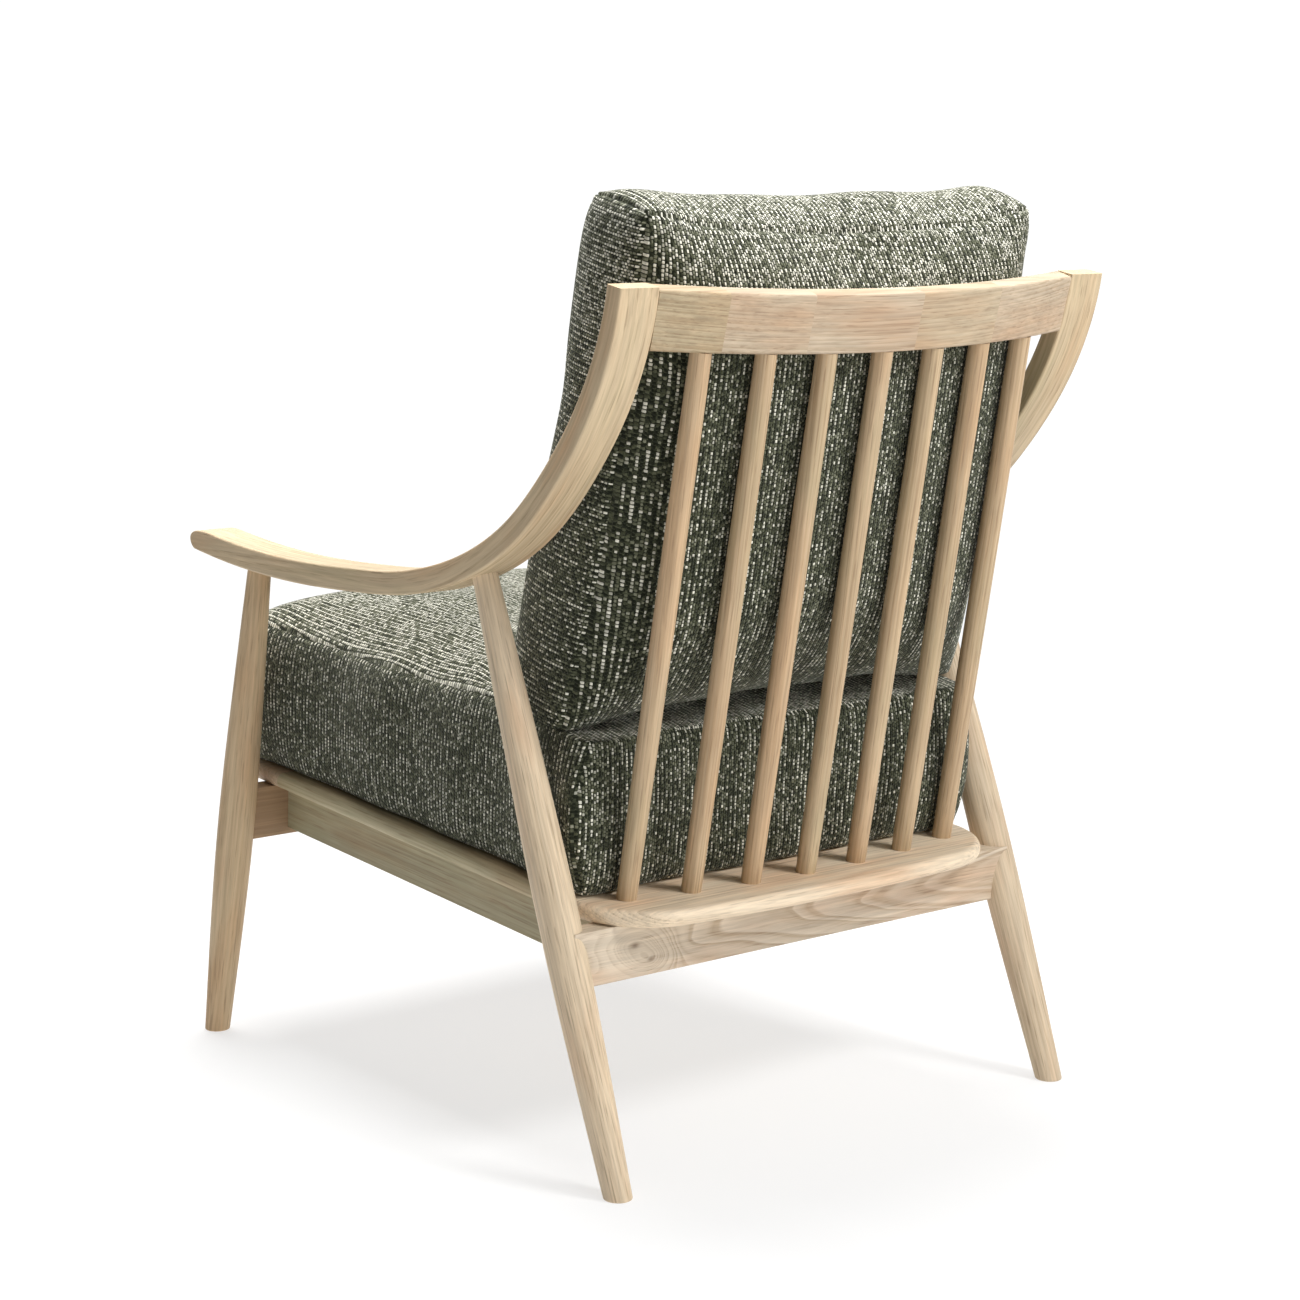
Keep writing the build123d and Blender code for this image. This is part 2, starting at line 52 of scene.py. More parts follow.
CAMERA_PLACE = Vector((1.8244, 2.3182, 0.9280))
CAMERA_AZIMUTH = math.radians(141.48)
CAMERA_ELEVATION = math.radians(9.395)
CAMERA_ROLL = math.radians(-0.083)
CAMERA_LENS = 78.92

BACKDROP_SIDE = (-0.62, -0.78, 0.0)
BACKDROP_FADE = (0.35, 0.90)     # the backdrop's edge, as the cosine of the angle from its middle
WORLD_DIM = 0.13
WORLD_BRIGHT = 1.06
FLOOR_RADIUS = 3.4
FLOOR_FADE = (0.9, 2.2)          # the floor turns from lit to glowing between these distances
FLOOR_WHITE = (0.36, 0.05)
FLOOR_GLOW = (0.66, 1.02)

# name, place, height that it aims at, width and power of each light
LIGHTS = (
    ("overhead", (-0.2, -0.5, 3.0), 0.5, 1.6, 112),
    ("rear_high", (-0.9, 2.3, 2.6), 0.6, 1.0, 66),
    ("rear_low", (0.3, 3.2, 0.9), 0.4, 1.0, 20),
)

# the deck's slope and the back cushion's lean, as the CAD has them
SEAT_TILT = math.radians(3.9)
SEAT_HEIGHT = 0.272
BACK_TILT = math.radians(13.5)
BACK_FOOT = Vector((0.0, 0.1566, 0.425))


def make_camera():
    azimuth, elevation = CAMERA_AZIMUTH, CAMERA_ELEVATION
    back = Vector((math.sin(azimuth) * math.cos(elevation),
                   -math.cos(azimuth) * math.cos(elevation),
                   math.sin(elevation)))
    right = (-back).cross(Vector((0, 0, 1))).normalized()
    up = back.cross(right)
    c, s = math.cos(CAMERA_ROLL), math.sin(CAMERA_ROLL)
    turned_right = c * right + s * up
    turned_up = -s * right + c * up
    axes = Matrix((turned_right, turned_up, back)).transposed()
    data = bpy.data.cameras.new("camera")
    data.lens = CAMERA_LENS
    data.sensor_width = 36
    camera = bpy.data.objects.new("camera", data)
    camera.matrix_world = Matrix.Translation(CAMERA_PLACE) @ axes.to_4x4()
    scene.collection.objects.link(camera)
    scene.camera = camera


def area_light(name, place, aim_height, size, power):
    data = bpy.data.lights.new(name, "AREA")
    data.shape = "DISK"
    data.size = size
    data.energy = power
    light = bpy.data.objects.new(name, data)
    light.location = place
    ray = Vector((0, 0, aim_height)) - Vector(place)
    light.rotation_euler = ray.to_track_quat("-Z", "Y").to_euler()
    scene.collection.objects.link(light)


def make_world():
    """Studio with a white backdrop in front of the chair, and softer light from everywhere else."""
    world = bpy.data.worlds.new("studio")
    scene.world = world
    world.use_nodes = True
    tree = world.node_tree
    background = tree.nodes["Background"]
    background.inputs["Color"].default_value = (1, 1, 1, 1)
    place = tree.nodes.new("ShaderNodeTexCoord")
    side = tree.nodes.new("ShaderNodeVectorMath")
    side.operation = "DOT_PRODUCT"
    side.inputs[1].default_value = Vector(BACKDROP_SIDE).normalized()
    fade = tree.nodes.new("ShaderNodeMapRange")
    fade.interpolation_type = "SMOOTHSTEP"
    for socket, value in zip(list(fade.inputs)[1:5], (*BACKDROP_FADE, WORLD_DIM, WORLD_BRIGHT)):
        socket.default_value = value
    tree.links.new(place.outputs["Generated"], side.inputs[0])
    tree.links.new(side.outputs["Value"], fade.inputs[0])
    tree.links.new(fade.outputs[0], background.inputs["Strength"])


def make_floor():
    """Pale disc, lit near the chair and glowing further out, so that it meets the backdrop."""
    bpy.ops.mesh.primitive_circle_add(vertices=128, radius=FLOOR_RADIUS, fill_type="NGON")
    floor = bpy.context.object
    floor.name = "floor"
    material, g = new_material("floor")
    away = g.node("VectorMath", operation="LENGTH")
    g.feed(away.inputs[0], g.place())
    distance = away.outputs["Value"]
    white = g.range(distance, *FLOOR_FADE, *FLOOR_WHITE)
    g.set(Base_Color=g.combine(white, white, white), Roughness=1.0, Specular_IOR_Level=0.0,
          Emission_Color=(1, 1, 1, 1), Emission_Strength=g.range(distance, *FLOOR_FADE, *FLOOR_GLOW))
    floor.data.materials.append(material)


def make_studio():
    make_world()
    make_floor()
    for light in LIGHTS:
        area_light(*light)
    scene.view_settings.view_transform = "Standard"


# ---- node helper -----------------------------------------------------------------------

class Graph:
    """Short calls for building a material's node tree."""

    def __init__(self, material):
        self.tree = material.node_tree
        self.shader = self.tree.nodes["Principled BSDF"]

    def node(self, kind, **settings):
        made = self.tree.nodes.new("ShaderNode" + kind)
        for name, value in settings.items():
            setattr(made, name, value)
        return made

    def feed(self, socket, value):
        if isinstance(value, bpy.types.NodeSocket):
            self.tree.links.new(value, socket)
        else:
            socket.default_value = value

    def math(self, operation, *values, clamp=False):
        made = self.node("Math", operation=operation, use_clamp=clamp)
        for socket, value in zip(made.inputs, values):
            self.feed(socket, value)
        return made.outputs[0]

    def plus(self, first, *others):
        for other in others:
            first = self.math("ADD", first, other)
        return first

    def minus(self, first, second, clamp=False):
        return self.math("SUBTRACT", first, second, clamp=clamp)

    def times(self, first, *others):
        for other in others:
            first = self.math("MULTIPLY", first, other)
        return first

    def length(self, y, z):
        return self.math("SQRT", self.plus(self.times(y, y), self.times(z, z)))

    def combine(self, x, y, z):
        made = self.node("CombineXYZ")
        for socket, value in zip(made.inputs, (x, y, z)):
            self.feed(socket, value)
        return made.outputs[0]

    def split(self, vector):
        made = self.node("SeparateXYZ")
        self.feed(made.inputs[0], vector)
        return made.outputs[0], made.outputs[1], made.outputs[2]

    def place(self):
        return self.node("TexCoord").outputs["Object"]

    def measure(self, vector, direction):
        """How far along a direction a place lies."""
        made = self.node("VectorMath", operation="DOT_PRODUCT")
        self.feed(made.inputs[0], vector)
        made.inputs[1].default_value = Vector(direction).normalized()
        return made.outputs["Value"]

    def noise(self, vector, scale=1.0, detail=2.0, rough=0.5):
        made = self.node("TexNoise")
        self.feed(made.inputs["Vector"], vector)
        made.inputs["Scale"].default_value = scale
        made.inputs["Detail"].default_value = detail
        made.inputs["Roughness"].default_value = rough
        return made.outputs["Fac"]

    def waver(self, vector, scale, size):
        """Slow shift to either side, up to half the size."""
        return self.times(self.minus(self.noise(vector, scale, 1.0), 0.5), size)

    def random(self, x, y, z):
        made = self.node("TexWhiteNoise", noise_dimensions="3D")
        self.feed(made.inputs["Vector"], self.combine(x, y, z))
        return made.outputs["Value"]

    def ramp(self, value, stops):
        made = self.node("ValToRGB")
        self.feed(made.inputs[0], value)
        ramp = made.color_ramp
        while len(ramp.elements) < len(stops):
            ramp.elements.new(0.5)
        for element, (place, colour) in zip(ramp.elements, stops):
            element.position = place
            if not hasattr(colour, "__len__"):
                colour = (colour, colour, colour)
            element.color = (*colour, 1)
        return made.outputs["Color"]

    def mix(self, factor, a, b, blend="MIX"):
        made = self.node("Mix", data_type="RGBA", blend_type=blend)
        self.feed(made.inputs[0], factor)
        for socket, value in ((made.inputs[6], a), (made.inputs[7], b)):
            if isinstance(value, tuple):
                value = (*value, 1)
            self.feed(socket, value)
        return made.outputs[2]

    def shaded(self, colour, shade, tint=(1.0, 1.0, 1.0)):
        """The colour made lighter or darker by the shade, and tinted."""
        return self.mix(1.0, colour, self.combine(*(self.times(shade, c) for c in tint)), "MULTIPLY")

    def range(self, value, low, high, to_low=0.0, to_high=1.0):
        made = self.node("MapRange")
        for socket, v in zip(made.inputs, (value, low, high, to_low, to_high)):
            self.feed(socket, v)
        return made.outputs[0]

    def set(self, **inputs):
        """Feeds inputs of the shader; an underscore in a name stands for a space."""
        for name, value in inputs.items():
            self.feed(self.shader.inputs[name.replace("_", " ")], value)

    def bump(self, height, strength, distance):
        made = self.node("Bump")
        made.inputs["Strength"].default_value = strength
        made.inputs["Distance"].default_value = distance
        self.feed(made.inputs["Height"], height)
        self.set(Normal=made.outputs["Normal"])


def new_material(name):
    material = bpy.data.materials.new(name)
    material.use_nodes = True
    return material, Graph(material)


def toned(colour, tone):
    return tuple(c * tone for c in colour)


# ---- wood --------------------------------------------------------------------------------

EARLY_WOOD = (0.630, 0.510, 0.362)
LATE_WOOD = (0.375, 0.265, 0.155)
WARM_STAIN = (0.560, 0.365, 0.220)
OLIVE_STAIN = (0.450, 0.395, 0.255)
PORE_DARK = (0.240, 0.150, 0.085)
KNOT_DARK = (0.160, 0.095, 0.055)

# how a year's growth darkens, from one spring to the next
YEAR = ((0.0, 0.05), (0.12, 0.85), (0.30, 1.0), (0.52, 0.45), (0.90, 0.12), (1.0, 0.05))
RING_WANDER = 0.030
YEAR_UNEVEN = 3.6
STAVE_SHIFT = (0.011, 0.023)     # how far each glued length's rings jump, across and deep
GRAIN_RELIEF = 0.00045

# y and z of the centre that the arm's sweep turns round, and its radius
ARM_BEND = (-0.040, 0.945)
ARM_BEND_RADIUS = 0.425

# foot and top of the left-hand legs' centre lines
FRONT_LEG = (Vector((0.3025, -0.364, 0)), Vector((0.2813, -0.286, 0.517)))
REAR_LEG = (Vector((0.2850, 0.336, 0)), Vector((0.2813, 0.131, 0.553)))

CREST_STAVES = (-0.14, -0.03, 0.10, 0.19)
RAIL_HEART = (0.205, 0.212)
RAIL_KNOTS = (((0.212, 0.269, 0.214), 0.013), ((0.192, 0.269, 0.197), 0.010))
# painted shade: a darker, greener tint for the side rails and boards
PAINTED_SHADE_OLIVE = (0.94, 1.02, 0.92)


def along_the_sweep(g, coordinates):
    """Straight along the armrest, then round its bend: length, distance from the centre, width."""
    x, y, z = g.split(coordinates)
    run = g.minus(y, ARM_BEND[0])
    drop = g.minus(ARM_BEND[1], z)
    past = g.math("MAXIMUM", run, 0.0)
    turned = g.times(g.math("ARCTAN2", past, drop), ARM_BEND_RADIUS)
    length = g.plus(g.math("MINIMUM", run, 0.0), turned)
    return g.combine(length, g.length(past, drop), x)


def seed_shift(seed):
    """Where a piece lies in the endless tree: along its grain, across and deep."""
    return seed, seed * 0.37, seed * 0.61


def grain_axes(g, along, seed, swept):
    """Coordinates in the wood: along the grain, across it and deep into it."""
    coordinates = g.place()
    if swept:
        coordinates = along_the_sweep(g, coordinates)
    mapping = g.node("Mapping", vector_type="POINT")
    g.feed(mapping.inputs["Vector"], coordinates)
    to_grain = Vector(along).normalized().rotation_difference(Vector((1, 0, 0))).to_euler()
    mapping.inputs["Rotation"].default_value = to_grain
    mapping.inputs["Location"].default_value = seed_shift(seed)
    return g.split(mapping.outputs[0])


def grain_space(g, grain, lengthwise, crosswise):
    """Space for noise that is long along the grain and narrow across it."""
    length, across, deep = grain
    return g.combine(g.times(length, lengthwise), g.times(across, crosswise), g.times(deep, crosswise))


def glue_staves(g, grain, places, seed):
    """Glued lengths of board: each has its own slice of the rings, and its own shade."""
    length, across, deep = grain
    joint = g.minus(length, seed)
    number = 0.0
    for place in places:
        number = g.plus(number, g.math("GREATER_THAN", joint, place))
    across = g.plus(across, g.times(number, STAVE_SHIFT[0]))
    deep = g.plus(deep, g.times(number, STAVE_SHIFT[1]))
    return (length, across, deep), g.random(number, seed, 0.5)


def ring_radius(g, grain, tree, seed, heart):
    """Distance from the tree's heart, which leans and wanders along the trunk."""
    length, across, deep = grain
    lean, centre_y, centre_z = tree
    if heart:
        shift = seed_shift(seed)
        centre_y, centre_z = heart[0] + shift[1], heart[1] + shift[2]
    wander = g.noise(grain_space(g, grain, 1.6, 9.0), 1.0, 3.0, 0.5)
    wander = g.times(g.minus(wander, 0.5), RING_WANDER)
    y = g.plus(g.minus(across, centre_y), wander, g.times(g.minus(length, seed), lean))
    return g.length(y, g.minus(deep, centre_z))


def grow_knots(g, grain, radius, knots, seed):
    """The rings bulge round each knot, and its core is dark."""
    shade = None
    for centre, size in knots:
        gaps = [g.minus(axis, c + s) for axis, c, s in zip(grain, centre, seed_shift(seed))]
        squares = [g.times(gap, gap) for gap in gaps]
        square = g.plus(g.times(squares[0], 0.30), g.plus(squares[1], squares[2]))
        near = g.math("EXPONENT", g.times(square, -1.0 / (2 * size ** 2)))
        radius = g.plus(radius, g.times(near, size * 1.6))
        core = g.math("EXPONENT", g.times(square, -1.0 / (2 * (size * 0.16) ** 2)))
        shade = core if shade is None else g.math("MAXIMUM", shade, core)
    return radius, shade


def growth_year(g, radius, ring, seed):
    """Pale spring wood to dark summer wood in each ring, with years of different widths."""
    turns = g.math("DIVIDE", radius, ring)
    uneven = g.noise(g.combine(g.times(turns, 0.55), seed, 0.0), 1.0, 2.0)
    turns = g.plus(turns, g.times(uneven, YEAR_UNEVEN))
    return g.ramp(g.math("FRACT", turns), YEAR)


def wood_colour(g, grain, year, contrast, tone, hue, blush):
    """Rings in two colours, with warm and olive patches over them."""
    cloud = g.noise(grain_space(g, grain, 4.0, 19.0), 1.0, 3.0, 0.6)
    colour = g.mix(g.times(year, contrast), toned(EARLY_WOOD, tone), toned(LATE_WOOD, tone))
    colour = g.mix(g.range(cloud, 0.50, 0.72, blush, 0.8), colour, toned(WARM_STAIN, tone))
    return g.mix(g.range(cloud, 0.26, 0.47, hue, 0.0), colour, toned(OLIVE_STAIN, tone))


def ash(name, along, tree, ring=0.0042, contrast=0.5, seed=0.0, tone=1.0,
        staves=(), knots=(), swept=False, hue=0.5, heart=None, blush=0.0, tint=(1.0, 1.0, 1.0)):
    """Solid ash: the growth rings are cylinders round an axis along the grain, cut by the part's faces.

    tree gives the heart's lean along the grain, and where it lies: so far away that the rings run
    straight, unless heart gives its y and z. hue and blush are the least shares of olive and warm.
    """
    material, g = new_material(name)
    grain = grain_axes(g, along, seed, swept)
    stave_tone = None
    if staves:
        grain, stave_tone = glue_staves(g, grain, staves, seed)
    length, across, _ = grain
    radius = ring_radius(g, grain, tree, seed, heart)
    radius, knot_shade = grow_knots(g, grain, radius, knots, seed)
    year = growth_year(g, radius, ring, seed)
    fibre = g.noise(grain_space(g, grain, 14.0, 360.0), 1.0, 3.0, 0.6)
    streak = g.noise(grain_space(g, grain, 4.0, 170.0), 1.0, 2.0, 0.6)
    pores = g.range(g.noise(grain_space(g, grain, 28.0, 640.0), 1.0, 1.0), 0.56, 0.68)
    pores = g.times(pores, g.plus(g.times(year, 0.8), 0.2))
    strength = g.noise(g.combine(length, seed, g.times(across, 8.0)), 6.0, 1.0)
    year = g.times(year, g.range(strength, 0.30, 0.70, 0.25, 1.0))
    colour = wood_colour(g, grain, year, contrast, tone, hue, blush)
    shade = g.times(g.range(fibre, 0.28, 0.72, 0.86, 1.10), g.range(streak, 0.30, 0.66, 0.89, 1.06))
    colour = g.shaded(colour, shade, tint)
    if stave_tone is not None:
        lift = g.range(stave_tone, 0.0, 1.0, 0.84, 1.08)
        colour = g.mix(1.0, colour, g.combine(lift, lift, g.times(lift, lift)), "MULTIPLY")
    colour = g.mix(g.times(pores, 0.42), colour, PORE_DARK)
    if knot_shade is not None:
        colour = g.mix(g.times(knot_shade, 0.75), colour, KNOT_DARK)
    g.set(Base_Color=colour, Roughness=g.range(year, 0.0, 1.0, 0.52, 0.66), Specular_IOR_Level=0.32)
    g.bump(g.minus(g.times(fibre, 0.35), g.times(pores, 0.9)), 0.35, GRAIN_RELIEF)
    return material


def dress(node, material):
    """Every material slot of a CAD node takes this material."""
    data = nodes[node].data
    data.materials.clear()
    data.materials.append(material)


def dress_ash(node, along, tree, **settings):
    dress(node, ash("ash_" + node, along, tree, **settings))


def leg_grain(leg, sign):
    foot, top = leg
    run = top - foot
    return Vector((sign * run.x, run.y, run.z))


def dress_sides():
    down_the_deck = (0, math.cos(SEAT_TILT), -math.sin(SEAT_TILT))
    for i, (side, sign) in enumerate((("left", 1), ("right", -1))):
        dress_ash("front_leg_" + side, leg_grain(FRONT_LEG, sign), (0.02, 0.07, 0.03), seed=1.3 + i,
                  blush=0.2, tint=(1.05, 1.02, 0.92))
        # painted light: the rear legs are toned lighter, the left one most, for the light falling on them
        dress_ash("rear_leg_" + side, leg_grain(REAR_LEG, sign), (0.02, 0.06, 0.05), seed=3.1 + i,
                  tone=1.24 - 0.18 * i, hue=0.15)
        dress_ash("arm_" + side, (1, 0, 0), (0.03, 0.33, 0.06), seed=5.7 + i, ring=0.0062,
                  tone=1.02, swept=True, hue=0.55, tint=(1.03, 1.0, 0.91))
        # painted shade: the side rails and boards are toned darker and olive, for the shade on their
        # outer faces
        dress_ash("side_rail_" + side, down_the_deck, (0.01, 0.10, 0.02), seed=7.9 + i, tone=0.70,
                  contrast=0.6, hue=0.9, tint=PAINTED_SHADE_OLIVE)
        dress_ash("side_board_" + side, down_the_deck, (0.01, 0.08, 0.05), seed=9.2 + i, tone=0.84,
                  hue=0.9, tint=PAINTED_SHADE_OLIVE)


def dress_cross_pieces():
    across = (1, 0, 0)
    dress("crest_rail", ash("ash_crest", across, (0.02, 0.10, 0.08), seed=11.4, contrast=0.65,
                            tone=0.91, staves=CREST_STAVES, hue=0.25))
    # painted shade: the front rail is toned darker and warmer, for the shade under the deck
    dress_ash("front_rail", across, (0.0, 0.05, 0.03), seed=13.5, tone=0.64, blush=0.6,
              tint=(1.0, 0.91, 0.80))
    # painted light: the rear rail's tint makes it lighter and cooler, for the light on its rear face
    dress_ash("rear_rail", across, (0.055, 0, 0), seed=15.1, ring=0.0030, contrast=0.85, hue=0.1,
              heart=RAIL_HEART, knots=RAIL_KNOTS, tint=(1.08, 1.13, 1.24))
    dress_ash("front_board", across, (0.01, 0.08, 0.06), seed=17.3)
    # painted light: the rear board is toned lighter, though it lies in the shade of the back cushion and
    # crest rail
    dress_ash("rear_board", across, (0.01, 0.10, 0.03), seed=19.2, tone=1.36, hue=0.1,
              tint=(1.0, 1.02, 1.06))


def dress_spindles_and_slats():
    for k in range(1, 8):
        spindle = "spindle_%d" % k
        low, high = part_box(spindle)
        lean = Vector((0, high.y - low.y - 0.02, high.z - low.z))
        dress_ash(spindle, lean, (0.015, 0.04, 0.05), seed=21.0 + 1.7 * k, contrast=0.8,
                  blush=0.32, tint=(0.99, 0.965, 0.89))
        dress("slat_%d" % k, ash("pine_slat_%d" % k, (1, 0, 0), (0.01, 0.05, 0.04), seed=41.0 + k))


def plain(name, colour, roughness, metallic=0.0, grain=220.0):
    """Small hardware: one colour, slightly mottled, with fine marks in its surface."""
    material, g = new_material(name)
    mottle = g.noise(g.place(), grain, 3.0, 0.6)
    light = tuple(min(1.0, c) for c in toned(colour, 1.12))
    g.set(Base_Color=g.mix(mottle, toned(colour, 0.84), light), Metallic=metallic,
          Roughness=g.range(mottle, 0.2, 0.8, roughness * 0.85, roughness * 1.15))
    g.bump(mottle, 0.3, 0.0002)
    return material


def dress_hardware():
    for name in ("slat_screws", "block_screws"):
        dress(name, plain("steel_" + name, (0.62, 0.62, 0.60), 0.34, metallic=1.0, grain=900.0))
    dress("foot_glides", plain("nylon_glides", (0.035, 0.035, 0.033), 0.55))
    dowels = (("rail_dowels", (0, 1, 0), 61.0), ("deck_dowels", (0, 1, 0), 61.0),
              ("crest_dowels", (1, 0, 0), 62.0))
    for name, along, seed in dowels:
        dress(name, ash("beech_" + name, along, (0.0, 0.02, 0.01), ring=0.002, contrast=0.3, seed=seed))
    for end in ("front", "rear"):
        for side in ("left", "right"):
            name = "%s_block_%s" % (end, side)
            dress(name, ash("pine_" + name, (0, 0, 1), (0.0, 0.04, 0.02), ring=0.003, seed=63.0))


# ---- tweed ---------------------------------------------------------------------------------

COLUMN_PITCH = 0.0028
ROW_PITCH = 0.0036
BEAD_RELIEF = 0.0011
PAINTED_LIGHT_RISE = 0.24                      # extra share of pale yarn painted in higher up, as painted light
YARN_DARK = (0.015, 0.018, 0.010)
YARN_OLIVE = (0.085, 0.092, 0.054)
YARN_GREY = (0.250, 0.255, 0.180)
YARN_CREAM = (0.920, 0.900, 0.770)
YARNS = ((0.0, YARN_DARK), (0.22, YARN_DARK), (0.40, YARN_OLIVE), (0.58, YARN_GREY),
         (0.72, toned(YARN_CREAM, 0.62)), (0.92, YARN_CREAM))


def hump(g, offset, half, power):
    """1 in the middle of a cell, falling to 0 at this share of its half width."""
    share = g.math("ABSOLUTE", g.math("DIVIDE", offset, half))
    return g.minus(1.0, g.math("POWER", share, power), clamp=True)


def weave(g, u, v, seed):
    """Cells of the weave: the column's and pick's numbers, every second column, and a bead in each."""
    column = g.math("DIVIDE", u, COLUMN_PITCH)
    number = g.math("FLOOR", column)
    odd = g.math("FLOORED_MODULO", number, 2.0)
    stagger = g.plus(g.times(odd, 0.5), g.times(g.random(number, seed, 3.0), 0.3))
    row = g.plus(g.math("DIVIDE", v, ROW_PITCH), stagger)
    count = g.math("FLOOR", row)
    side = g.times(g.minus(g.math("FRACT", column), 0.5), 2.0)
    end = g.times(g.minus(g.math("FRACT", row), 0.5), 2.0)
    girth = g.range(g.random(number, count, seed + 7.5), 0.0, 1.0, 0.55, 0.95)
    bead = g.times(g.math("SQRT", hump(g, side, girth, 2.0)), hump(g, end, 0.9, 3.0))
    return number, count, odd, bead


def tweed(name, across, along, seed, pale=0.0, painted_light_heights=None):
    """Heavy weave in columns: every second column has pale slubs, those between are dark and olive.

    pale adds to the share of pale yarn: painted light on the lit top panels, painted shade where it is
    below zero. The last argument gives two heights between which more pale yarn comes in, as painted
    light higher up.
    """
    material, g = new_material(name)
    place = g.place()
    u, v = g.measure(place, across), g.measure(place, along)
    flat = g.combine(u, v, seed)
    u = g.plus(u, g.plus(g.waver(flat, 5.0, 0.006), g.waver(flat, 110.0, 0.0005)))
    v = g.plus(v, g.plus(g.waver(flat, 6.0, 0.005), g.waver(flat, 90.0, 0.0014)))
    number, count, odd, bead = weave(g, u, v, seed)
    pick = g.random(number, count, seed + 0.5)
    streak = g.noise(g.combine(g.times(number, 0.63), g.times(v, 32.0), seed), 1.0, 1.0)
    patch = g.minus(g.noise(flat, 16.0, 2.0), 0.5)
    level = g.plus(g.times(pick, 0.66), g.times(streak, 0.60), g.times(patch, 0.10))
    # painted light: more pale yarn higher up, between the two heights, where light falls above the crest
    # rail
    if painted_light_heights:
        height = g.split(place)[2]
        pale = g.range(height, painted_light_heights[0], painted_light_heights[1], pale, pale + PAINTED_LIGHT_RISE)
    level = g.minus(g.plus(level, pale), g.plus(g.times(odd, 0.32), 0.05), clamp=True)
    gap = g.mix(g.range(g.noise(flat, 420.0, 1.0), 0.45, 0.65), YARN_DARK, YARN_OLIVE)
    colour = g.mix(g.range(bead, 0.15, 0.60), gap, g.ramp(level, YARNS))
    fuzz = g.noise(flat, 1500.0, 2.0, 0.6)
    colour = g.shaded(colour, g.range(fuzz, 0.25, 0.75, 0.70, 1.28))
    g.set(Base_Color=colour, Roughness=0.92, Specular_IOR_Level=0.12, Sheen_Weight=0.30,
          Sheen_Roughness=0.42, Sheen_Tint=(0.90, 0.92, 0.80, 1))
    g.bump(g.plus(bead, g.times(fuzz, 0.35)), 0.8, BEAD_RELIEF)
    return material


# ---- cushions ------------------------------------------------------------------------------

SIM_FRAMES = 20
PRESSURE = 4.0
SEAM_WIDTH = 0.0022
LUMP_SIZE = 0.17
LUMP_HEIGHT = 0.0020

# the back cushion's side edges: height up the cushion, then front and rear in its thickness
BACK_EDGE_HEIGHTS = (-0.030, 0.060, 0.126, 0.232, 0.303, 0.399, 0.470, 0.510)
BACK_EDGE_FRONT = (-0.050, -0.052, -0.052, -0.048, -0.044, -0.044, -0.046, -0.044)
BACK_EDGE_REAR = (0.050, 0.052, 0.052, 0.051, 0.050, 0.048, 0.046, 0.044)
BACK_CELLS = (56, 12, 56)
BACK_HALF = 0.2665
BACK_TALL = 0.496
BACK_EAR = 0.017
BACK_FOOT_DROP = 0.024
BACK_FOOT_EAR = 0.024
BACK_FOOT_FLARE = 0.009
BACK_TOP_DOME = 0.024
BACK_CORNER = 0.026
BACK_REAR_CROWN = 0.062
BACK_FRONT_CROWN = 0.034
BACK_DRIFT = -0.012              # how far the top has slipped to the sitter's right
BACK_FOOT_DRIFT = -0.004
BACK_STUFFING = {"swell": 0.018, "softening": 14, "seam_depth": 0.0017, "seed": 7}

SEAT_CELLS = (52, 66, 18)
SEAT_HALF = 0.261
SEAT_FRONT = -0.402
SEAT_BACK = 0.246
SEAT_BOW = 0.004
SEAT_CORNER = 0.012
SEAT_EDGE_HEIGHT = 0.155
SEAT_REAR_LIFT = 0.013
SEAT_DOME = 0.034
SEAT_UNDERSIDE = -0.006
SEAT_FLARE = 0.013               # how far the rear corners swell out behind the legs
SEAT_STUFFING = {"swell": 0.014, "softening": 16, "seam_depth": 0.0012, "seed": 3}

# the plane where the back cushion stands on the seat cushion: height above the deck along its slope
REST_PEAK = -0.130
REST_HEIGHT = 0.186
REST_FALL = 34 / 374
REST_GAP = 0.0004

# the spindles' front line in the back cushion's frame, up to just below the crest rail
SPINDLE_FRONT = 0.1345
SPINDLE_LEAN = 0.040
SPINDLE_TOP = 0.455

# the arms beside the back cushion: inner faces, depth of the bent board, and clearances
ARM_INNER = 0.2592
ARM_DEPTH = 0.028
ARM_MARGIN = 0.004
ARM_CLEARANCE = 0.0012
FREE_SWELL = 0.020               # how far past the arms the cover may swell where they leave room

# the legs beside the seat cushion: inner faces, and how far behind a leg's centre line it may swell
LEG_INNER = 0.2625
LEG_CLEAR = (0.0225, 0.036)


def seat_matrix():
    """The deck's frame: x across, y down the slope to the rear, z square to the deck."""
    return Matrix.Translation((0, 0, SEAT_HEIGHT)) @ Matrix.Rotation(-SEAT_TILT, 4, "X")


def back_matrix():
    """The back cushion's frame: x across, y through its thickness to the rear, z up its height."""
    return Matrix.Translation(BACK_FOOT) @ Matrix.Rotation(-BACK_TILT, 4, "X")


def moved(points, matrix):
    m = np.array(matrix)
    return points @ m[:3, :3].T + m[:3, 3]


def smooth(value, low, high):
    t = np.clip((value - low) / (high - low), 0, 1)
    return t * t * (3 - 2 * t)


def gauss(value, width):
    return np.exp(-(value / width) ** 2)


def read_points(mesh):
    points = np.empty(len(mesh.vertices) * 3, np.float32)
    mesh.vertices.foreach_get("co", points)
    return points.reshape(-1, 3).astype(float)


def write_points(mesh, points):
    mesh.vertices.foreach_set("co", np.asarray(points, np.float32).ravel())
    mesh.update()


def read_normals(mesh):
    normals = np.empty(len(mesh.vertices) * 3, np.float32)
    mesh.vertex_normals.foreach_get("vector", normals)
    return normals.reshape(-1, 3).astype(float)


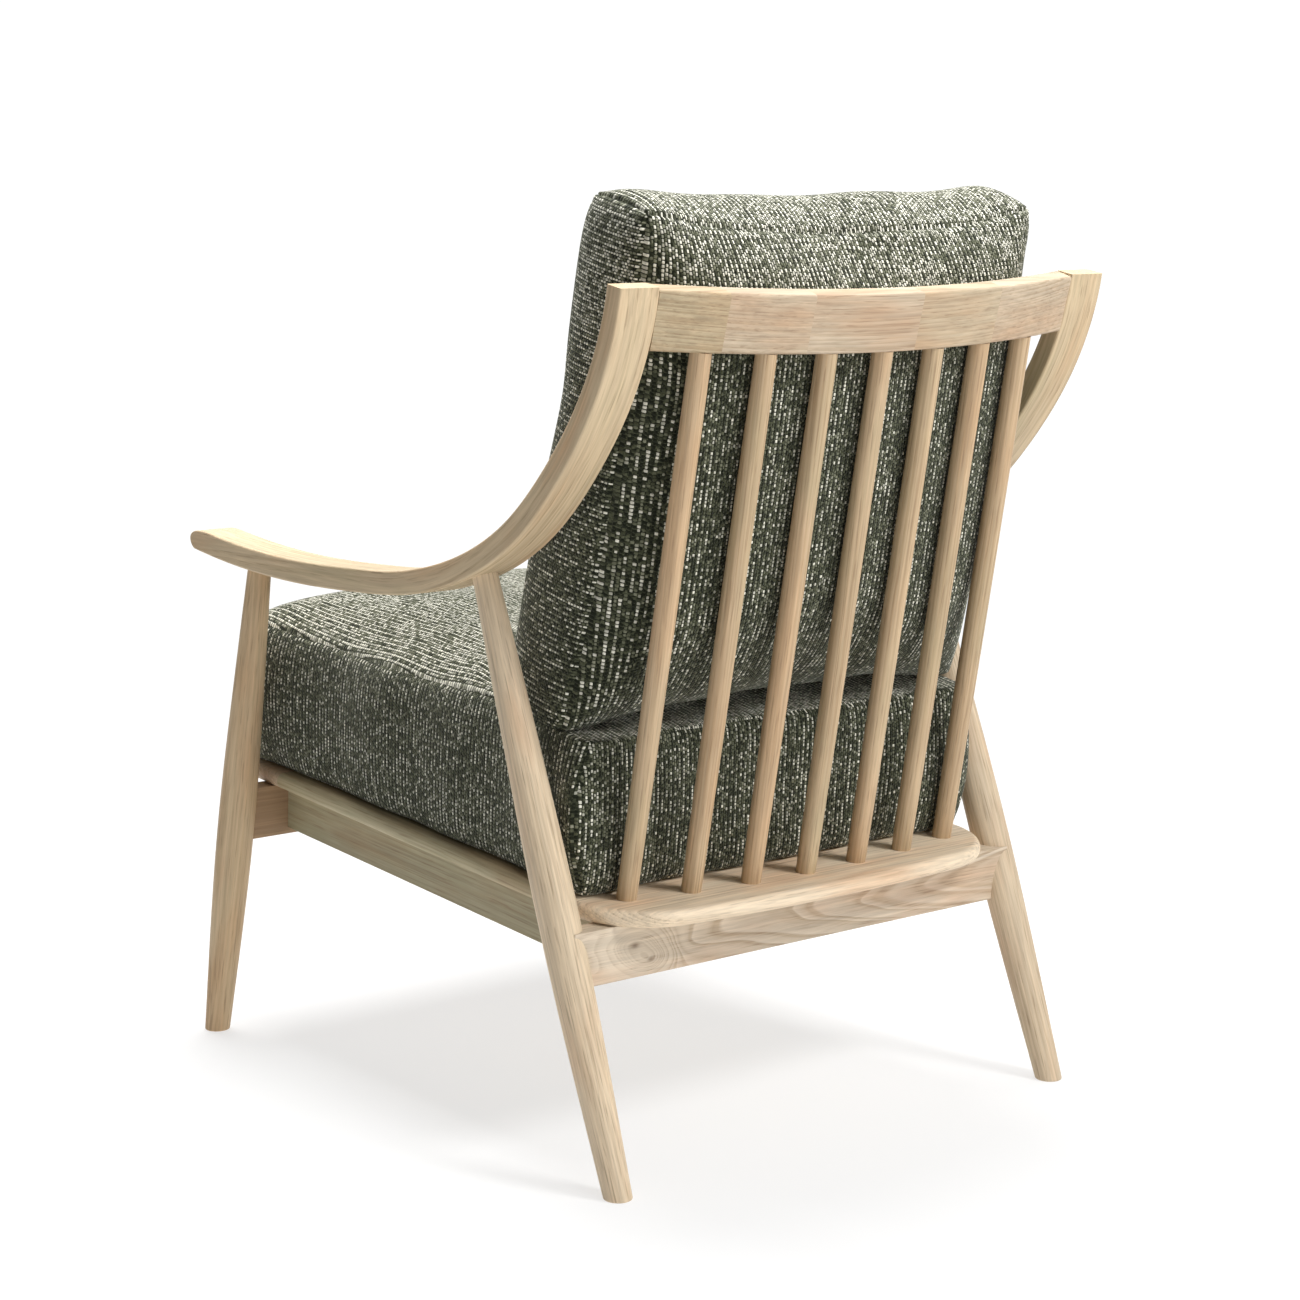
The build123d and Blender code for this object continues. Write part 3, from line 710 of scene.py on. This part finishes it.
def add_side(bm, axis, side, cells):
    """One gridded side of the -1..1 cube."""
    first, second = [k for k in range(3) if k != axis]
    grid = {}
    for i in range(cells[first] + 1):
        for j in range(cells[second] + 1):
            point = [0.0, 0.0, 0.0]
            point[axis] = side
            point[first] = 2 * i / cells[first] - 1
            point[second] = 2 * j / cells[second] - 1
            grid[i, j] = bm.verts.new(point)
    for i in range(cells[first]):
        for j in range(cells[second]):
            face = bm.faces.new((grid[i, j], grid[i + 1, j], grid[i + 1, j + 1], grid[i, j + 1]))
            face.material_index = axis


def box_cover(name, cells, shape, materials):
    """Closed box cover, gridded all over; shape maps points of the -1..1 cube into place.

    The sides take the first material, front and rear the second, top and bottom the third.
    """
    bm = bmesh.new()
    for axis in range(3):
        for side in (-1.0, 1.0):
            add_side(bm, axis, side, cells)
    bmesh.ops.remove_doubles(bm, verts=bm.verts[:], dist=1e-5)
    bmesh.ops.recalc_face_normals(bm, faces=bm.faces[:])
    mesh = bpy.data.meshes.new(name)
    bm.to_mesh(mesh)
    bm.free()
    cube = read_points(mesh)
    attribute = mesh.attributes.new("cube", "FLOAT_VECTOR", "POINT")
    attribute.data.foreach_set("vector", cube.astype(np.float32).ravel())
    write_points(mesh, shape(cube))
    for material in materials:
        mesh.materials.append(material)
    obj = bpy.data.objects.new(name, mesh)
    scene.collection.objects.link(obj)
    return obj


def take_cube(mesh):
    """Where on the -1..1 cube each point of the cover came from."""
    values = np.empty(len(mesh.vertices) * 3, np.float32)
    mesh.attributes["cube"].data.foreach_get("vector", values)
    mesh.attributes.remove(mesh.attributes["cube"])
    return values.reshape(-1, 3).astype(float)


def apply_modifiers(obj):
    graph = bpy.context.evaluated_depsgraph_get()
    mesh = bpy.data.meshes.new_from_object(obj.evaluated_get(graph))
    obj.modifiers.clear()
    obj.data = mesh


def puff(obj, cap):
    """Inflates the closed cover as cloth and keeps each point within cap of where it began."""
    start = read_points(obj.data)
    cloth = obj.modifiers.new("cloth", "CLOTH")
    settings = cloth.settings
    settings.quality = 6
    settings.mass = 0.3
    settings.tension_stiffness = 14
    settings.compression_stiffness = 14
    settings.shear_stiffness = 6
    settings.bending_stiffness = 0.5
    settings.use_pressure = True
    settings.uniform_pressure_force = PRESSURE
    settings.effector_weights.gravity = 0
    cloth.collision_settings.use_collision = False
    cloth.point_cache.frame_start = 1
    cloth.point_cache.frame_end = SIM_FRAMES
    for number in range(1, SIM_FRAMES + 1):
        scene.frame_set(number)
    apply_modifiers(obj)
    shift = read_points(obj.data) - start
    far = np.linalg.norm(shift, axis=1, keepdims=True)
    limit = cap * np.tanh(far / cap) / np.maximum(far, 1e-9)
    write_points(obj.data, start + shift * limit)
    scene.frame_set(1)


def subdivide(obj, levels):
    modifier = obj.modifiers.new("smooth", "SUBSURF")
    modifier.levels = levels
    modifier.render_levels = levels
    apply_modifiers(obj)


def relax(mesh, rounds):
    """Moves each point towards the middle of its neighbours."""
    points = read_points(mesh)
    edges = np.empty(len(mesh.edges) * 2, np.int32)
    mesh.edges.foreach_get("vertices", edges)
    ends = np.concatenate((edges.reshape(-1, 2), edges.reshape(-1, 2)[:, ::-1]))
    count = np.bincount(ends[:, 0], minlength=len(points))[:, None]
    for _ in range(rounds):
        totals = [np.bincount(ends[:, 0], points[ends[:, 1], k], len(points)) for k in range(3)]
        points = (points + np.stack(totals, axis=1) / count) / 2
    write_points(mesh, points)


def round_corner(x, y, half, high, radius):
    """Draws points in an outline's two upper corners in, onto a round of this radius."""
    over_x = np.abs(x) - (half - radius)
    over_y = y - (high - radius)
    inside = (over_x > 0) & (over_y > 0)
    far = np.hypot(over_x, over_y)
    share = np.where(inside, np.maximum(over_x, over_y) / np.maximum(far, 1e-9), 1.0)
    new_x = np.where(inside, np.sign(x) * (half - radius + over_x * share), x)
    new_y = np.where(inside, high - radius + over_y * share, y)
    return new_x, new_y


def back_shape(cube):
    """The back cushion's cover in its own frame, from the cube: crowned, eared, and heavy at its foot."""
    a, b, c = cube.T
    up = (c + 1) / 2
    s = up * (BACK_TALL + BACK_EAR * np.abs(a) ** 4)
    s = s + up ** 8 * BACK_TOP_DOME * (1 - b * b) * (1 - np.abs(a) ** 6)
    s = s - (1 - up) ** 8 * (BACK_FOOT_DROP * (1 - b) / 2 + BACK_FOOT_EAR * np.abs(a) ** 4)
    front = np.interp(s, BACK_EDGE_HEIGHTS, BACK_EDGE_FRONT)
    rear = np.interp(s, BACK_EDGE_HEIGHTS, BACK_EDGE_REAR)
    across = 1 - np.abs(a) ** 4.5
    tall = 1 - np.abs(c) ** 3.0
    crown = np.where(b > 0, BACK_REAR_CROWN, BACK_FRONT_CROWN) * across * tall
    t = (front + rear) / 2 + b * ((rear - front) / 2 + crown)
    x = a * (BACK_HALF - 0.003 * tall + 0.006 * tall * (1 - b * b))
    x, s = round_corner(x, s, BACK_HALF, BACK_TALL + BACK_EAR, BACK_CORNER)
    x = x + a * BACK_FOOT_FLARE * (1 - up) ** 8
    x = x + BACK_DRIFT * up ** 2 + BACK_FOOT_DRIFT * (1 - up)
    return np.stack((x, t, s), axis=1)


def seat_lift(a, v):
    """How much higher the top seam runs towards the rear corners."""
    rear = smooth((v - SEAT_FRONT) / (SEAT_BACK - SEAT_FRONT), 0.4, 1.0)
    return SEAT_REAR_LIFT * rear * smooth(np.abs(a), 0.4, 1.0)


def seat_shape(cube):
    """The seat cushion's cover in the deck's frame, from the cube: domed, with its rear edge bowed."""
    a, b, c = cube.T
    v = (b + 1) / 2 * (SEAT_BACK - SEAT_FRONT) + SEAT_FRONT
    dome = SEAT_DOME * (1 - np.abs(a) ** 2.8) * (1 - np.abs(b + 0.10) ** 3).clip(0)
    top = SEAT_EDGE_HEIGHT + seat_lift(a, v) + dome
    w = SEAT_UNDERSIDE + (c + 1) / 2 * (top - SEAT_UNDERSIDE)
    x = a * (SEAT_HALF - 0.002 * (1 - b * b) + 0.003 * (1 - c * c))
    x, v = round_corner(x, v, SEAT_HALF, SEAT_BACK, SEAT_CORNER)
    x, v = round_corner(x, -v, SEAT_HALF, -SEAT_FRONT, SEAT_CORNER)
    v = -v + smooth(b, 0.6, 1.0) * SEAT_BOW * (1 - a * a)
    return np.stack((x, v, w), axis=1)


def sew(points, normals, distance, depth):
    """Pulls the cover in along a seam, with the stuffing standing up beside it."""
    groove = gauss(distance, SEAM_WIDTH) * depth
    shoulder = gauss(distance - 3.0 * SEAM_WIDTH, 1.6 * SEAM_WIDTH) * depth * 0.30
    return points + normals * (shoulder - groove)[:, None]


def lumps(points, seed):
    """Slow uneven bulges, worked out from a few waves in different directions."""
    random = np.random.default_rng(seed)
    total = np.zeros(len(points))
    for _ in range(9):
        direction = random.normal(size=3)
        direction /= np.linalg.norm(direction)
        wave = points @ direction * (2 * math.pi / (LUMP_SIZE * random.uniform(0.7, 1.6)))
        total += np.sin(wave + random.uniform(0, 6.3))
    return total * LUMP_HEIGHT / 3


def keep_above(value, level, blend):
    """Presses values that are lower than the level up to it, with a short round where they leave it."""
    below = level + blend - value
    return np.where(below > 0, level + blend * np.exp(-below.clip(0) / blend), value)


def keep_below(value, level, blend):
    return -keep_above(-value, -level, blend)


def beside_arms(points):
    """Keeps the cover from swelling into the arms: the limit on |x| at each point."""
    y, z = points[:, 1], points[:, 2]
    run = np.maximum(y - ARM_BEND[0], 0)
    distance = np.hypot(run, ARM_BEND[1] - z)
    outside = distance - ARM_BEND_RADIUS - ARM_MARGIN
    inside = ARM_BEND_RADIUS - ARM_DEPTH - ARM_MARGIN - distance
    return ARM_INNER - ARM_CLEARANCE + FREE_SWELL * smooth(np.maximum(outside, inside), 0.0, 0.030)


def swell_behind_legs(points):
    """Swells the seat's rear corners out behind the rear legs, and keeps the sides clear of all legs."""
    wide, v, w = np.abs(points[:, 0]), points[:, 1], points[:, 2]
    corner = smooth(wide, 0.20, 0.25) * smooth(v, 0.19, 0.235)
    swell = corner * np.sin(np.pi * np.clip(w / 0.15, 0, 1))
    foot, top = REAR_LEG
    above_floor = SEAT_HEIGHT + w - math.sin(SEAT_TILT) * v
    behind = v - (foot.y + (top.y - foot.y) * above_floor / top.z)
    limit = LEG_INNER + SEAT_FLARE * smooth(behind, *LEG_CLEAR)
    points[:, 0] = np.sign(points[:, 0]) * keep_below(wide + SEAT_FLARE * swell, limit, 0.002)


def rest_height(v):
    return REST_HEIGHT - REST_FALL * (v - REST_PEAK)


def finish_cushion(obj, matrix, node):
    obj.data.transform(matrix)
    for polygon in obj.data.polygons:
        polygon.use_smooth = True
    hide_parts(node)
    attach(obj, node)


def seam_distances(cube, sizes):
    """Distance from each point to the three pairs of box edges: round the sides, the ends and the top."""
    gaps = [(1 - np.abs(cube[:, k])) * sizes[k] / 2 for k in range(3)]
    return np.hypot(gaps[0], gaps[1]), np.hypot(gaps[0], gaps[2]), np.hypot(gaps[1], gaps[2])


def stuffed_cover(name, cells, shape, materials, sizes, swell, softening, seam_depth, seed):
    """Cushion cover: a sewn box, inflated, with seams drawn in and uneven stuffing under the cloth.

    Each round of softening moves the points towards their neighbours, which rounds the edges off.
    """
    obj = box_cover(name, cells, shape, materials)
    puff(obj, swell)
    relax(obj.data, softening)
    subdivide(obj, 2)
    mesh = obj.data
    cube = take_cube(mesh)
    points = read_points(mesh)
    normals = read_normals(mesh)
    for distance in seam_distances(cube, sizes):
        points = sew(points, normals, distance, seam_depth)
    points += normals * lumps(points, seed)[:, None]
    return obj, points


def make_back_cushion(materials):
    """Stands on the seat cushion, leans on the spindles and fits between the arms."""
    sizes = (2 * BACK_HALF, 0.10, BACK_TALL)
    obj, points = stuffed_cover("back_cushion_cover", BACK_CELLS, back_shape, materials, sizes,
                                **BACK_STUFFING)
    x, t, s = points.T
    limit = SPINDLE_FRONT - SPINDLE_LEAN * s - x * x / 2
    points[:, 1] = np.where(s < SPINDLE_TOP, keep_below(t, limit, 0.004), t)
    edge = beside_arms(moved(points, back_matrix()))
    points[:, 0] = np.sign(x) * keep_below(np.abs(x), edge, 0.002)
    on_deck = moved(moved(points, back_matrix()), seat_matrix().inverted())
    on_deck[:, 2] = keep_above(on_deck[:, 2], rest_height(on_deck[:, 1]) + REST_GAP, 0.005)
    write_points(obj.data, moved(moved(on_deck, seat_matrix()), back_matrix().inverted()))
    finish_cushion(obj, back_matrix(), "back_cushion")


def make_seat_cushion(materials):
    """Lies on the deck between the legs, pressed flat under the back cushion."""
    sizes = (2 * SEAT_HALF, SEAT_BACK - SEAT_FRONT, SEAT_EDGE_HEIGHT)
    obj, points = stuffed_cover("seat_cushion_cover", SEAT_CELLS, seat_shape, materials, sizes,
                                **SEAT_STUFFING)
    points[:, 2] = keep_above(points[:, 2], 0.0006, 0.0035)
    v = points[:, 1]
    pressed = keep_below(points[:, 2], rest_height(v) - REST_GAP, 0.004)
    points[:, 2] = points[:, 2] + smooth(v, 0.00, 0.05) * (pressed - points[:, 2])
    swell_behind_legs(points)
    write_points(obj.data, points)
    finish_cushion(obj, seat_matrix(), "seat_cushion")


def upholster():
    """Both cushions, each panel with the weave's own direction on it."""
    across = (1, 0, 0)
    seat_down = (0, math.cos(SEAT_TILT), -math.sin(SEAT_TILT))
    seat_up = (0, math.sin(SEAT_TILT), math.cos(SEAT_TILT))
    back_through = (0, math.cos(BACK_TILT), -math.sin(BACK_TILT))
    back_up = (0, math.sin(BACK_TILT), math.cos(BACK_TILT))
    # painted light: the top panels get more pale yarn, and the back cushion's sides and face more of it
    # higher up; painted shade: the back face's pale below zero
    make_seat_cushion((tweed("tweed_seat_side", seat_down, seat_up, 1.0),
                       tweed("tweed_seat_end", across, seat_up, 2.0),
                       tweed("tweed_seat_top", across, seat_down, 3.0, pale=0.29)))
    make_back_cushion((tweed("tweed_back_side", back_up, back_through, 4.0, painted_light_heights=(0.66, 0.84)),
                       tweed("tweed_back_face", across, back_up, 5.0, pale=-0.02, painted_light_heights=(0.76, 0.84)),
                       tweed("tweed_back_top", across, back_through, 6.0, pale=0.28)))


# ---- run ------------------------------------------------------------------------------------

make_camera()
make_studio()
dress_sides()
dress_cross_pieces()
dress_spindles_and_slats()
dress_hardware()
upholster()
